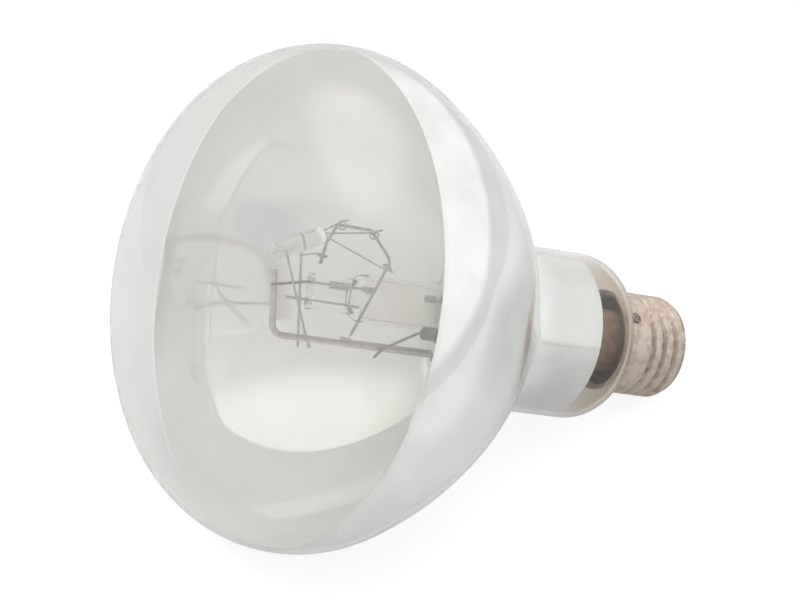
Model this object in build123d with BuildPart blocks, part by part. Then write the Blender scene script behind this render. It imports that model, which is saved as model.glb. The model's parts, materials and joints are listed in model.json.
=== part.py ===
"""Reflector lamp for a terrarium: a self-ballasted ultraviolet bulb with a clear face and a screw cap.

Each piece is drawn in the lamp's own frame, with Z on the lamp's axis from the tip of the contact to the
face, and X pointing from the support rod to the bead. The finished pieces are then laid down together, as
the lamp comes to rest on its globe and the edge of its cap. Sizes are in millimetres and degrees.
"""
import math
import os

from build123d import *

# Glass envelope, outer skin
globe_radius = 62.5
face_radius = 108.0
rim_roll = 30.5
roll_past_widest = 24.0
bowl_radius = 90.0
neck_fillet = 6.0
neck_radius = 21.2
neck_length = 24.0
neck_shoulder = 10.0
seal_room = 1.7
seal_bend = 2.5
seal_depth = 8.0
glass_wall = 1.2

# Mirror film on the inside of the bowl and the neck
mirror_lead = 4.4
mirror_foot = 5.0
mirror_film = 0.25
film_gap = 0.05

# Screw cap
shell_crest_radius = 13.1
thread_depth = 0.95
shell_wall = 0.3
shell_height = 20.0
skirt_height = 5.2
thread_pitch = 3.629
thread_turns = 3.0
thread_start = 205.0
thread_crest_width = 1.7
thread_base_width = 3.2
shell_toe = 0.5
shell_mouth_radius = 9.8
rim_gap = 0.3
insulator_show = 2.3
insulator_flange = 2.0
insulator_fit = 0.15
contact_radius = 5.6
contact_thickness = 0.8
contact_eye = 1.0
solder_radius = 3.6
solder_height = 1.4
side_solder_radius = 1.5
side_solder_height = 0.5
side_solder_drop = 2.6
side_solder_angle = -58.7
cement_gap = 0.05
cement_bed = 1.2

# Stem
stem_radius = 8.0
stem_wall = 1.0
stem_tube_length = 19.3
press_blend = 5.0
press_length = 7.0
press_width = 25.0
press_thickness = 7.0
press_corner = 2.0
press_flat = 0.2
exhaust_radius = 2.4
exhaust_wall = 0.8
exhaust_length = 21.0
cap_lead_offset = 4.8

# Quartz burner
burner_offset = 1.9
burner_radius = 6.0
burner_wall = 1.2
burner_length = 30.0
burner_round = 4.0
rear_pinch_length = 20.0
front_pinch_length = 12.0
pinch_width = 9.0
pinch_thickness = 3.4
pinch_corner = 0.8
burner_clear = 6.0
lead_spread = 2.2
electrode_radius = 0.95
electrode_length = 4.0
electrode_show = 3.4
foil_width = 1.9
foil_length = 6.0
foil_thickness = 0.2
foil_inset = 1.2
seal_clearance = 0.05
starter_show = 3.0
starter_out = 6.6
mercury_radius = 0.75

# Frame, leads, filament and its supports
lead_radius = 0.35
lead_bend = 1.05
lead_seat = 5.0
lead_out = 1.0
front_lead_sink = 1.9
weld_gap = 0.05
rod_radius = 0.85
rod_offset = 9.7
rod_bend = 3.0
leg_gap = 9.5
leg_rise = 6.0
leg_lean = 2.0
filament_radius = 0.5
filament_bend = 1.2
filament_drop = 12.3
filament_clear = 0.2
filament_fore = 1.9
filament_first_run = 23.2
filament_offset = 9.2
filament_side = 3.2
filament_ring = 12.15
filament_angles = (-38.7, 35.5, 65.4, 91.4)
filament_lead_offset = 8.9
filament_lead_side = 2.6
filament_lead_rise = 2.2
support_radius = 0.22
support_root = 1.1
hook_clearance = 0.35
bead_radius = 2.3
bead_round = 0.6
bead_length = 13.4
bead_offset = 13.1
bead_rise = 5.3
bead_tilt = 25.0
stay_radius = 0.32
stay_tail = 2.4
front_stay_drop = 1.0
front_stay_grip = 5.6
rear_stay_drop = 0.2
rear_stay_grip = 2.9
end_support_drop = 4.1
resistor_radius = 1.7
resistor_round = 0.5
resistor_length = 9.0
resistor_offset = 4.5
resistor_side = 7.0
resistor_drop = 30.8
resistor_lead_rise = 6.6
mount_turn = 26.3
seam_turn = 25.0

# Screw cap, stations on the axis and radii
contact_z = solder_height + contact_thickness
shell_toe_z = contact_z + insulator_show
shell_rim_z = shell_toe_z + shell_height
skirt_z = shell_rim_z - skirt_height
shell_root_radius = shell_crest_radius - thread_depth
shell_bore = shell_root_radius - shell_wall
seal_end_z = shell_rim_z - seal_depth
seal_radius = shell_crest_radius - seal_room
seal_bore = seal_radius - glass_wall

# Centres of the arcs of the envelope, each tangent to the next
shoulder_r = neck_radius - neck_shoulder
shoulder_z = shell_rim_z + rim_gap + math.sqrt(neck_shoulder**2 - (shell_crest_radius - shoulder_r) ** 2)
seal_bend_r = seal_radius + seal_bend
seal_bend_z = shoulder_z - math.sqrt((neck_shoulder + seal_bend) ** 2 - (seal_bend_r - shoulder_r) ** 2)
shoulder_angle = math.degrees(math.atan2(shoulder_z - seal_bend_z, seal_bend_r - shoulder_r))
roll_turn = math.radians(roll_past_widest)
roll_r = globe_radius - rim_roll
bowl_r = roll_r - (bowl_radius - rim_roll) * math.cos(roll_turn)
fillet_r = neck_radius + neck_fillet
fillet_z = shoulder_z + neck_length
bowl_z = fillet_z + math.sqrt((bowl_radius + neck_fillet) ** 2 - (fillet_r - bowl_r) ** 2)
bowl_angle = math.degrees(math.atan2(bowl_z - fillet_z, fillet_r - bowl_r))
widest_z = bowl_z - (bowl_radius - rim_roll) * math.sin(roll_turn)
face_angle = math.degrees(math.asin(roll_r / (face_radius - rim_roll)))
face_z = widest_z - (face_radius - rim_roll) * math.cos(math.radians(face_angle))

# Stations of the burner and its frame, from the stem to the face
press_z = seal_end_z + stem_tube_length
press_top_z = press_z + press_blend + press_length
rear_pinch_z = press_top_z + burner_clear
burner_foot_z = rear_pinch_z + rear_pinch_length
burner_head_z = burner_foot_z + burner_length
front_pinch_z = burner_head_z + front_pinch_length
leg_z = front_pinch_z + leg_gap + rod_radius
filament_z = front_pinch_z - filament_drop
resistor_z = front_pinch_z - resistor_drop
main_x = burner_offset + lead_spread
starter_x = burner_offset - lead_spread
rod_y = rod_radius + lead_radius + weld_gap
front_foil_z = burner_head_z + foil_inset
rear_foil_z = burner_foot_z - foil_inset

# Half section of the lamp, and the one of the blown glass, whose mould seam lies near the lamp's upper side
lamp_section = Plane.XZ
seam_way = math.radians(seam_turn - mount_turn)
seam_x_dir = (math.cos(seam_way), math.sin(seam_way), 0)
seam_z_dir = (math.sin(seam_way), -math.cos(seam_way), 0)
envelope_section = Plane(origin=(0, 0, 0), x_dir=seam_x_dir, z_dir=seam_z_dir)
burner_section = Plane(origin=(burner_offset, 0, 0), x_dir=(1, 0, 0), z_dir=(0, -1, 0))
burner_axis = Axis((burner_offset, 0, 0), (0, 0, 1))


def envelope_outline(inset):
    """Draw half the envelope's section, its skin moved inwards by inset, in the current line block."""
    CenterArc((0, face_z), face_radius - inset, 90 - face_angle, face_angle)
    CenterArc((roll_r, widest_z), rim_roll - inset, -roll_past_widest, 90 - face_angle + roll_past_widest)
    CenterArc((bowl_r, bowl_z), bowl_radius - inset, -bowl_angle, bowl_angle - roll_past_widest)
    CenterArc((fillet_r, fillet_z), neck_fillet + inset, 180 - bowl_angle, bowl_angle)
    Line((neck_radius - inset, fillet_z), (neck_radius - inset, shoulder_z))
    CenterArc((shoulder_r, shoulder_z), neck_shoulder - inset, -shoulder_angle, shoulder_angle)
    CenterArc((seal_bend_r, seal_bend_z), seal_bend + inset, 180 - shoulder_angle, shoulder_angle)
    Polyline(
        (seal_radius - inset, seal_bend_z),
        (seal_radius - inset, seal_end_z),
        (0, seal_end_z),
        (0, face_z + face_radius - inset),
    )


def sweep_wire(points, radius, bend=0.0):
    """Sweep a round wire along straight runs with bent corners, in the current part block."""
    with BuildLine() as path:
        if len(points) > 2:
            FilletPolyline(*points, radius=bend)
        else:
            Line(*points)
    with BuildSketch(Plane(origin=path.line @ 0, z_dir=path.line % 0)) as section:
        Circle(radius)
    sweep(section.sketch, path=path.line)


def post(x, y, low_z, high_z, radius, mode=Mode.ADD):
    """Add a straight round post along the lamp's axis, or cut one, in the current part block."""
    with BuildSketch(Plane.XY.offset(low_z)) as section:
        with Locations((x, y)):
            Circle(radius)
    extrude(section.sketch, amount=high_z - low_z, mode=mode)


# Blown glass envelope, open at the sealed end of the neck
with BuildPart() as glass_envelope:
    with BuildSketch(envelope_section):
        with BuildLine():
            envelope_outline(0)
        make_face()
    revolve(axis=Axis.Z)
    with BuildSketch(envelope_section):
        with BuildLine():
            envelope_outline(glass_wall)
        make_face()
    revolve(axis=Axis.Z, mode=Mode.SUBTRACT)

# Aluminium mirror on the inner wall, from just ahead of the widest ring down into the neck
with BuildPart() as mirror_coating:
    with BuildSketch(lamp_section):
        with BuildLine():
            envelope_outline(glass_wall + film_gap)
        make_face()
        with BuildLine():
            envelope_outline(glass_wall + film_gap + mirror_film)
        make_face(mode=Mode.SUBTRACT)
    revolve(axis=Axis.Z)
    split(bisect_by=Plane.XY.offset(widest_z + mirror_lead), keep=Keep.BOTTOM)
    split(bisect_by=Plane.XY.offset(shoulder_z + mirror_foot), keep=Keep.TOP)

# Screw shell of thin sheet, with a plain skirt, a threaded body and a turned-in toe
toe_corner_z = shell_toe_z + shell_toe
thread_foot_z = toe_corner_z + thread_base_width / 2
ridge_sink = shell_wall / 2
ridge_flare = (thread_base_width - thread_crest_width) / 2 / thread_depth
ridge_half_width = thread_base_width / 2 + ridge_sink * ridge_flare
with BuildLine() as thread_turn_line:
    Helix(
        thread_pitch,
        thread_pitch * thread_turns,
        shell_root_radius - ridge_sink,
        center=(0, 0, thread_foot_z),
    )
thread_path = thread_turn_line.line.rotate(Axis.Z, thread_start)
ridge_plane = Plane(
    origin=thread_path @ 0,
    x_dir=thread_path @ 0 - Vector(0, 0, thread_foot_z),
    z_dir=thread_path % 0,
)
with BuildPart() as screw_shell:
    with BuildSketch(lamp_section):
        with BuildLine():
            wall_line = Polyline(
                (shell_crest_radius, shell_rim_z),
                (shell_crest_radius, skirt_z),
                (shell_root_radius, skirt_z - thread_depth),
                (shell_root_radius, toe_corner_z),
                (shell_mouth_radius, shell_toe_z),
            )
            offset(wall_line, amount=shell_wall, side=Side.RIGHT)
        make_face()
    revolve(axis=Axis.Z)
    with BuildSketch(ridge_plane):
        with BuildLine():
            Polyline(
                (0, -ridge_half_width),
                (thread_depth + ridge_sink, -thread_crest_width / 2),
                (thread_depth + ridge_sink, thread_crest_width / 2),
                (0, ridge_half_width),
                close=True,
            )
        make_face()
    sweep(path=thread_path, is_frenet=True)

# Glass insulator that closes the toe of the shell, with an eye for the contact's lead
insulator_bore = shell_mouth_radius - shell_wall - insulator_fit
flange_z = shell_toe_z + shell_toe + shell_wall
with BuildPart() as cap_insulator:
    with BuildSketch(lamp_section):
        with BuildLine():
            Polyline(
                (contact_eye, contact_z),
                (contact_radius, contact_z),
                (insulator_bore, shell_toe_z),
                (insulator_bore, flange_z),
                (shell_bore - insulator_fit, flange_z),
                (shell_bore - insulator_fit, flange_z + insulator_flange),
                (contact_eye, flange_z + insulator_flange),
                close=True,
            )
        make_face()
    revolve(axis=Axis.Z)

# Brass contact plate with the same eye
with BuildPart() as contact_plate:
    with BuildSketch(Plane.XY.offset(solder_height)):
        Circle(contact_radius)
        Circle(contact_eye, mode=Mode.SUBTRACT)
    extrude(amount=contact_thickness)

# Domed solder button on the plate
with BuildPart() as contact_solder:
    with BuildSketch(lamp_section):
        with BuildLine():
            dome_radius = (solder_radius**2 + solder_height**2) / (2 * solder_height)
            RadiusArc((0, 0), (solder_radius, solder_height), -dome_radius)
            Polyline((solder_radius, solder_height), (0, solder_height), (0, 0))
        make_face()
    revolve(axis=Axis.Z)

# Solder spot on the skirt, where the side lead is fixed
with BuildPart() as side_solder:
    with BuildSketch(lamp_section):
        with BuildLine():
            spot_radius = (side_solder_radius**2 + side_solder_height**2) / (2 * side_solder_height)
            RadiusArc((side_solder_radius, 0), (0, side_solder_height), -spot_radius)
            Polyline((0, side_solder_height), (0, 0), (side_solder_radius, 0))
        make_face()
    revolve(axis=Axis.Z)
spot_turn = math.radians(side_solder_angle)
spot_out = Vector(math.cos(spot_turn), math.sin(spot_turn), 0)
spot_place = Plane(
    origin=spot_out * (shell_crest_radius + weld_gap) + Vector(0, 0, shell_rim_z - side_solder_drop),
    z_dir=spot_out,
)
side_solder.part.locate(spot_place.location)

# Cement that fills the skirt round the sealed neck, up to its rim, with a bed under the stem's flare
cement_r = shell_crest_radius - shell_wall - cement_gap
cement_bore = seal_radius + cement_gap
thread_top_z = thread_foot_z + thread_pitch * thread_turns + ridge_half_width
cement_foot_z = max(thread_top_z, skirt_z + shell_wall) + cement_gap
cement_bed_z = seal_end_z - stem_wall - cement_gap
cement_lip = seal_bend - cement_gap
cement_lip_angle = math.degrees(math.acos((seal_bend_r - cement_r + cement_gap) / cement_lip))
with BuildPart() as cap_cement:
    with BuildSketch(lamp_section):
        with BuildLine():
            lip_line = CenterArc(
                (seal_bend_r, seal_bend_z), cement_lip, 180 - cement_lip_angle, cement_lip_angle
            )
            Polyline(
                (cement_bore, seal_bend_z),
                (cement_bore, cement_bed_z),
                (stem_radius, cement_bed_z),
                (stem_radius, cement_bed_z - cement_bed),
                (shell_bore - cement_gap, cement_bed_z - cement_bed),
                (shell_bore - cement_gap, cement_foot_z),
                (cement_r, cement_foot_z),
                (cement_r, (lip_line @ 0).Y),
                lip_line @ 0,
            )
        make_face()
    revolve(axis=Axis.Z)

# Stem: a glass tube flared out to the sealed end of the neck and pressed flat round the wires
flare = seal_bore - stem_radius
with BuildPart() as stem:
    with BuildSketch(lamp_section):
        with BuildLine():
            Line((stem_radius, press_z), (stem_radius, seal_end_z + flare))
            CenterArc((seal_bore, seal_end_z + flare), flare, 180, 90)
            Polyline(
                (seal_bore, seal_end_z),
                (seal_radius, seal_end_z),
                (seal_radius, seal_end_z - stem_wall),
                (seal_bore, seal_end_z - stem_wall),
            )
            CenterArc((seal_bore, seal_end_z + flare), flare + stem_wall, 180, 90)
            Polyline(
                (stem_radius - stem_wall, seal_end_z + flare),
                (stem_radius - stem_wall, press_z),
                (stem_radius, press_z),
            )
        make_face()
    revolve(axis=Axis.Z)
    with BuildSketch(Plane.XY.offset(press_z)):
        RectangleRounded(2 * stem_radius, 2 * stem_radius, stem_radius - press_flat)
    with BuildSketch(Plane.XY.offset(press_z + press_blend)):
        RectangleRounded(press_width, press_thickness, press_corner)
    loft()
    with BuildSketch(Plane.XY.offset(press_z + press_blend)):
        RectangleRounded(press_width, press_thickness, press_corner)
    extrude(amount=press_length)
    seat_z = press_top_z - lead_seat
    post(-rod_offset, rod_y, seat_z, press_top_z, rod_radius + seal_clearance, Mode.SUBTRACT)
    for seat_x, seat_y in ((main_x, 0), (-filament_lead_offset, filament_lead_side)):
        post(seat_x, seat_y, seat_z, press_top_z, lead_radius + seal_clearance, Mode.SUBTRACT)

# Exhaust tube inside the stem, closed at its tip
exhaust_tip_z = press_z - exhaust_length
with BuildPart() as exhaust_tube:
    post(0, 0, exhaust_tip_z, press_z, exhaust_radius)
    fillet(exhaust_tube.edges().group_by(Axis.Z)[0], exhaust_radius * 0.75)
    post(0, 0, exhaust_tip_z + exhaust_radius, press_z, exhaust_radius - exhaust_wall, Mode.SUBTRACT)

# Leads inside the cap, one to the contact and one to the shell
cap_lead_turn_z = exhaust_tip_z - exhaust_radius
with BuildPart() as contact_lead:
    sweep_wire(
        [
            (cap_lead_offset, 0, press_z),
            (cap_lead_offset, 0, cap_lead_turn_z),
            (0, 0, flange_z + insulator_flange),
            (0, 0, solder_height),
        ],
        lead_radius,
        lead_bend,
    )
with BuildPart() as shell_lead:
    sweep_wire(
        [
            (-cap_lead_offset, 0, press_z),
            (-cap_lead_offset, 0, cap_lead_turn_z),
            (-shell_bore + weld_gap, 0, cap_lead_turn_z),
        ],
        lead_radius,
        lead_bend,
    )

# Quartz burner, with a flat pinched seal at each end and seats for what the seals hold
with BuildPart() as burner_tube:
    with BuildSketch(Plane.XY.offset(rear_pinch_z)):
        with Locations((burner_offset, 0)):
            RectangleRounded(pinch_width, pinch_thickness, pinch_corner)
    extrude(amount=front_pinch_z - rear_pinch_z)
    with BuildSketch(burner_section):
        with BuildLine():
            FilletPolyline(
                (0, burner_foot_z),
                (burner_radius, burner_foot_z),
                (burner_radius, burner_head_z),
                (0, burner_head_z),
                radius=burner_round,
            )
            Line((0, burner_head_z), (0, burner_foot_z))
        make_face()
    revolve(axis=burner_axis)
    with BuildSketch(burner_section):
        with BuildLine():
            FilletPolyline(
                (0, burner_foot_z + burner_wall),
                (burner_radius - burner_wall, burner_foot_z + burner_wall),
                (burner_radius - burner_wall, burner_head_z - burner_wall),
                (0, burner_head_z - burner_wall),
                radius=burner_round - burner_wall,
            )
            Line((0, burner_head_z - burner_wall), (0, burner_foot_z + burner_wall))
        make_face()
    revolve(axis=burner_axis, mode=Mode.SUBTRACT)
    post(main_x, 0, rear_pinch_z, burner_foot_z + burner_wall + burner_round,
         lead_radius + seal_clearance, Mode.SUBTRACT)
    post(main_x, 0, burner_head_z - burner_wall - burner_round, front_pinch_z,
         lead_radius + seal_clearance, Mode.SUBTRACT)
    post(starter_x, 0, burner_head_z - burner_wall - burner_round, front_pinch_z,
         lead_radius + seal_clearance, Mode.SUBTRACT)
    for foil_low_z in (rear_foil_z - foil_length, front_foil_z):
        with BuildSketch(Plane.XY.offset(foil_low_z - seal_clearance)):
            with Locations((main_x, 0)):
                Rectangle(foil_width + 2 * seal_clearance, foil_thickness + 2 * seal_clearance)
        extrude(amount=foil_length + 2 * seal_clearance, mode=Mode.SUBTRACT)


def foil(low_z):
    """Add one sealing foil that starts at low_z, in the current part block."""
    with BuildSketch(Plane.XY.offset(low_z)) as section:
        with Locations((main_x, 0)):
            Rectangle(foil_width, foil_thickness)
    extrude(section.sketch, amount=foil_length)


# Sealing foils
with BuildPart() as front_foil:
    foil(front_foil_z)
with BuildPart() as rear_foil:
    foil(rear_foil_z - foil_length)

# Electrodes: a shank on the foil and a wound head in the burner
front_head_z = burner_head_z - electrode_show
rear_head_z = burner_foot_z + electrode_show
with BuildPart() as front_electrode:
    post(main_x, 0, front_head_z, front_foil_z, lead_radius)
    post(main_x, 0, front_head_z - electrode_length, front_head_z, electrode_radius)
with BuildPart() as rear_electrode:
    post(main_x, 0, rear_foil_z, rear_head_z, lead_radius)
    post(main_x, 0, rear_head_z, rear_head_z + electrode_length, electrode_radius)
with BuildPart() as starter_electrode:
    post(starter_x, 0, burner_head_z - starter_show, front_pinch_z + starter_out, lead_radius)

# Drop of mercury at the lowest place in the burner, as the lamp lies
turn = math.radians(mount_turn)
drop_reach = burner_radius - burner_wall - mercury_radius - weld_gap
drop_z = burner_head_z - electrode_show - electrode_length / 2
with BuildPart() as mercury_drop:
    with Locations((burner_offset - drop_reach * math.cos(turn), drop_reach * math.sin(turn), drop_z)):
        Sphere(mercury_radius)

# Support rod from the stem, bent up in front of the burner
with BuildPart() as burner_frame:
    sweep_wire(
        [(-rod_offset, rod_y, seat_z), (-rod_offset, rod_y, leg_z - leg_lean), (leg_rise, rod_y, leg_z)],
        rod_radius,
        rod_bend,
    )

# Leads of the burner: the front one is welded to the leg of the rod, the rear one sits in the stem
with BuildPart() as front_lead:
    sweep_wire(
        [
            (main_x, 0, front_foil_z + foil_length),
            (main_x, 0, front_pinch_z + lead_out),
            (main_x - front_lead_sink, 0, leg_z + lead_out),
        ],
        lead_radius,
        lead_bend,
    )
with BuildPart() as rear_lead:
    post(main_x, 0, seat_z, rear_foil_z - foil_length, lead_radius)

# Ballast filament: its first run starts above the rod and passes the burner, the rest hangs in a ring
lead_over_x = -rod_offset + rod_radius + lead_radius + 2 * weld_gap
start_x = lead_over_x + lead_radius + filament_radius + weld_gap
filament_start = Vector(start_x, -filament_fore, filament_z)
burner_way = Vector(burner_offset, 0, filament_z) - filament_start
pass_radius = burner_radius + filament_radius + filament_clear
pass_angle = math.atan2(burner_way.Y, burner_way.X) - math.asin(pass_radius / burner_way.length)
first_way = Vector(math.cos(pass_angle), math.sin(pass_angle), 0)
first_corner = filament_start + first_way * filament_first_run
ring_middle = Vector(filament_offset, filament_side, filament_z)
ring_corners = [
    ring_middle + Vector(filament_ring, 0, 0).rotate(Axis.Z, angle) for angle in filament_angles
]
filament_corners = [filament_start, first_corner, *ring_corners]
with BuildPart() as ballast_filament:
    sweep_wire(filament_corners, filament_radius, filament_bend)

# Lead from the stem to the start of the filament, behind the rod and then over it
with BuildPart() as filament_lead:
    sweep_wire(
        [
            (-filament_lead_offset, filament_lead_side, seat_z),
            (-filament_lead_offset, filament_lead_side, filament_z - filament_lead_rise),
            (lead_over_x, filament_lead_side, filament_z),
            (lead_over_x, -filament_fore, filament_z),
        ],
        lead_radius,
        lead_bend,
    )

# Glass bead in front of the filament, with its front end low
bead_turn = math.radians(bead_tilt)
bead_way = Vector(-math.sin(bead_turn), 0, math.cos(bead_turn))
bead_middle = Vector(bead_offset, 0, front_pinch_z + bead_rise)
with BuildPart() as support_bead:
    with Locations(Plane(origin=bead_middle, z_dir=bead_way)):
        Cylinder(bead_radius, bead_length)
    fillet(support_bead.edges().filter_by(GeomType.CIRCLE), bead_round)

# Stays that carry the bead on the rod, one on each side, ahead of the burner's front seal
bead_side = bead_radius + stay_radius + weld_gap
rod_side = rod_radius + stay_radius + weld_gap


def stay_ends(side, drop, grip):
    """Give the two ends of a stay: past the rod on one side of it, and on the same side of the bead."""
    foot = Vector(-rod_offset, rod_y + side * rod_side, front_pinch_z - drop)
    head = bead_middle + bead_way * grip + Vector(0, side * bead_side, 0)
    return foot + (foot - head).normalized() * stay_tail, head


front_stay_ends = stay_ends(-1, front_stay_drop, front_stay_grip)
rear_stay_ends = stay_ends(1, rear_stay_drop, -rear_stay_grip)
with BuildPart() as front_stay:
    sweep_wire(front_stay_ends, stay_radius)
with BuildPart() as rear_stay:
    sweep_wire(rear_stay_ends, stay_radius)

# Thin supports from the bead and the rear stay, each with a loop round a run of the filament
hook_radius = filament_radius + hook_clearance + support_radius
bead_rear = bead_middle - bead_way * (bead_length / 2 + support_radius)
rear_stay_tail, rear_stay_head = rear_stay_ends
stay_join = rear_stay_head + (rear_stay_tail - rear_stay_head).normalized() * end_support_drop
stay_root = stay_join + Vector(0, stay_radius + support_radius + weld_gap, 0)


def loop_plane(corner):
    """Give the plane of the loop that lies just before a corner of the filament."""
    run = filament_corners[corner] - filament_corners[corner - 1]
    return Plane(origin=filament_corners[corner] - run.normalized() * 2 * hook_radius, z_dir=run)


def bead_root(corner):
    """Give the place on the rear end of the bead where the support of a corner leaves it."""
    reach = loop_plane(corner).origin - bead_rear
    level = Vector(reach.X, reach.Y, 0)
    sideways = level - bead_way * level.dot(bead_way)
    return bead_rear + sideways.normalized() * support_root


def hooked_support(root, corner):
    """Add a support from its root to the loop at a corner of the filament, in the current part block."""
    loop = loop_plane(corner)
    root_side = loop.to_local_coords(root)
    loop_start = Vector(root_side.X, root_side.Y, 0).normalized() * hook_radius
    sweep_wire([root, loop.from_local_coords(loop_start)], support_radius)
    with Locations(loop.location):
        Torus(hook_radius, support_radius)


with BuildPart() as near_support:
    hooked_support(bead_root(1), 1)
with BuildPart() as upper_support:
    hooked_support(bead_root(2), 2)
with BuildPart() as far_support:
    hooked_support(bead_root(3), 3)
with BuildPart() as end_support:
    hooked_support(stay_root, 5)

# Starting resistor beside the burner, wired from the rod to the rear lead
with BuildPart() as start_resistor:
    post(-resistor_offset, -resistor_side, resistor_z - resistor_length, resistor_z, resistor_radius)
    fillet(start_resistor.edges(), resistor_round)
rod_touch_y = rod_y - rod_radius - lead_radius - weld_gap
lead_touch_y = -2 * lead_radius - weld_gap
with BuildPart() as resistor_front_lead:
    sweep_wire(
        [
            (-resistor_offset, -resistor_side, resistor_z),
            (-resistor_offset, -resistor_side, resistor_z + lead_out),
            (-rod_offset, rod_touch_y, resistor_z + resistor_lead_rise),
            (-rod_offset - stay_tail, rod_touch_y, resistor_z + resistor_lead_rise + stay_tail),
        ],
        lead_radius,
        lead_bend,
    )
with BuildPart() as resistor_rear_lead:
    sweep_wire(
        [
            (-resistor_offset, -resistor_side, resistor_z - resistor_length),
            (-resistor_offset, -resistor_side, burner_foot_z - rear_pinch_length / 2),
            (main_x, lead_touch_y, (rear_pinch_z + press_top_z) / 2),
        ],
        lead_radius,
        rod_bend,
    )

# The lamp at rest: it touches the floor with the roll of the globe and with the corner of the shell's toe
reach_z = widest_z - toe_corner_z
reach_r = roll_r - shell_root_radius
tilt = math.atan2(reach_r, reach_z) + math.asin(rim_roll / math.hypot(reach_z, reach_r))
lift = shell_root_radius * math.cos(tilt) - toe_corner_z * math.sin(tilt)
rest_plane = Plane(
    origin=(0, 0, lift),
    x_dir=(math.cos(turn) * math.sin(tilt), math.sin(turn), math.cos(turn) * math.cos(tilt)),
    z_dir=(-math.cos(tilt), 0, math.sin(tilt)),
)

pieces = {
    "glass_envelope": glass_envelope,
    "mirror_coating": mirror_coating,
    "screw_shell": screw_shell,
    "cap_insulator": cap_insulator,
    "contact_plate": contact_plate,
    "contact_solder": contact_solder,
    "side_solder": side_solder,
    "cap_cement": cap_cement,
    "stem": stem,
    "exhaust_tube": exhaust_tube,
    "contact_lead": contact_lead,
    "shell_lead": shell_lead,
    "burner_tube": burner_tube,
    "front_foil": front_foil,
    "rear_foil": rear_foil,
    "front_electrode": front_electrode,
    "rear_electrode": rear_electrode,
    "starter_electrode": starter_electrode,
    "mercury_drop": mercury_drop,
    "burner_frame": burner_frame,
    "front_lead": front_lead,
    "rear_lead": rear_lead,
    "ballast_filament": ballast_filament,
    "filament_lead": filament_lead,
    "support_bead": support_bead,
    "front_stay": front_stay,
    "rear_stay": rear_stay,
    "near_support": near_support,
    "upper_support": upper_support,
    "far_support": far_support,
    "end_support": end_support,
    "start_resistor": start_resistor,
    "resistor_front_lead": resistor_front_lead,
    "resistor_rear_lead": resistor_rear_lead,
}

# The origin is on the floor, under the middle of the lamp's length
outer_pieces = [glass_envelope, screw_shell, cap_insulator, contact_plate, contact_solder]
outer_boxes = [piece.part.moved(rest_plane.location).bounding_box() for piece in outer_pieces]
middle_x = (min(box.min.X for box in outer_boxes) + max(box.max.X for box in outer_boxes)) / 2
resting = Plane(
    origin=rest_plane.origin - Vector(middle_x, 0, 0),
    x_dir=rest_plane.x_dir,
    z_dir=rest_plane.z_dir,
)
os.makedirs("parts", exist_ok=True)
for name, piece in pieces.items():
    piece.part.move(resting.location)
    piece.part.label = name
    export_step(piece.part, f"parts/{name}.step")
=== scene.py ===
"""Dress a terrarium reflector lamp: blown glass, mirror film, screw cap and the works behind its face.

Every sub-assembly is drawn in the lamp's own axes and in millimetres, with Z from the tip of the contact
to the face and X from the support rod to the bead. It is then laid where the frame has the lamp at rest.
"""

import json
import logging
import math
from dataclasses import dataclass, field
from enum import Enum
from typing import ClassVar

import bmesh
import bpy
from mathutils import Matrix, Vector


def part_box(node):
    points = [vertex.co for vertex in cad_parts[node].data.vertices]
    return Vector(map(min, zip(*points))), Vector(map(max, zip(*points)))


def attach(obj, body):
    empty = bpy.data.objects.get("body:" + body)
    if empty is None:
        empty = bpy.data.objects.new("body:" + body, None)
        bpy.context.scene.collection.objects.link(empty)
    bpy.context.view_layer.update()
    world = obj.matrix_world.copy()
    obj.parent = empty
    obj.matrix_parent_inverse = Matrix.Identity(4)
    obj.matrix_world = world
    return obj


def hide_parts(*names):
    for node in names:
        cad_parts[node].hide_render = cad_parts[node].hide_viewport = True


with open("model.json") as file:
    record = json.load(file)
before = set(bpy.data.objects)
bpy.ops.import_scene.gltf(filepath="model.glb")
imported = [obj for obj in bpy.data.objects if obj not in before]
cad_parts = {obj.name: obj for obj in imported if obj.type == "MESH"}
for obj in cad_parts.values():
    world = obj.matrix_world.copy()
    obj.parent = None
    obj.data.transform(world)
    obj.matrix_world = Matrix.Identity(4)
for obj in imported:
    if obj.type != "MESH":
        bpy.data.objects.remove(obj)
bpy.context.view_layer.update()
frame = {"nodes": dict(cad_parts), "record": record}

MM = 0.001
FULL_TURN = 2.0 * math.pi
BODY = "root"
log = logging.getLogger("reflector_lamp")

Colour = tuple[float, float, float]
Span = tuple[float, float]
Socket = bpy.types.NodeSocket


class Slot(Enum):
    """The record's material slots."""

    ENVELOPE_GLASS = "envelope_glass"
    MIRROR_FILM = "mirror_film"
    STEM_GLASS = "stem_glass"
    QUARTZ = "quartz"
    CAP_METAL = "cap_metal"
    BLACK_GLASS = "black_glass"
    CONTACT_BRASS = "contact_brass"
    SOLDER = "solder"
    CEMENT = "cement"
    NICKEL_WIRE = "nickel_wire"
    TUNGSTEN = "tungsten"
    MOLYBDENUM = "molybdenum"
    RESISTOR_BODY = "resistor_body"
    MERCURY = "mercury"


@dataclass(frozen=True)
class LampAxes:
    """The lamp's own axes in the scene, read from the frame's mount and bead."""

    mount_station: float = 14.5
    bead_node: str = "support_bead"

    def matrix(self) -> Matrix:
        """Work out the way from the lamp's axes to the scene.

        Returns:
            The transform from the lamp's millimetres to the scene's metres.
        """
        mount = frame["record"]["mounts"][0]
        ahead = -Vector(mount["axis"]).normalized()
        origin = Vector(mount["pos_m"]) - ahead * self.mount_station * MM
        low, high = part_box(self.bead_node)
        reach = (Vector(low) + Vector(high)) / 2 - origin
        across = (reach - ahead * reach.dot(ahead)).normalized()
        turned = Matrix((across, ahead.cross(across), ahead)).transposed()
        return Matrix.Translation(origin) @ turned.to_4x4() @ Matrix.Scale(MM, 4)


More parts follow.
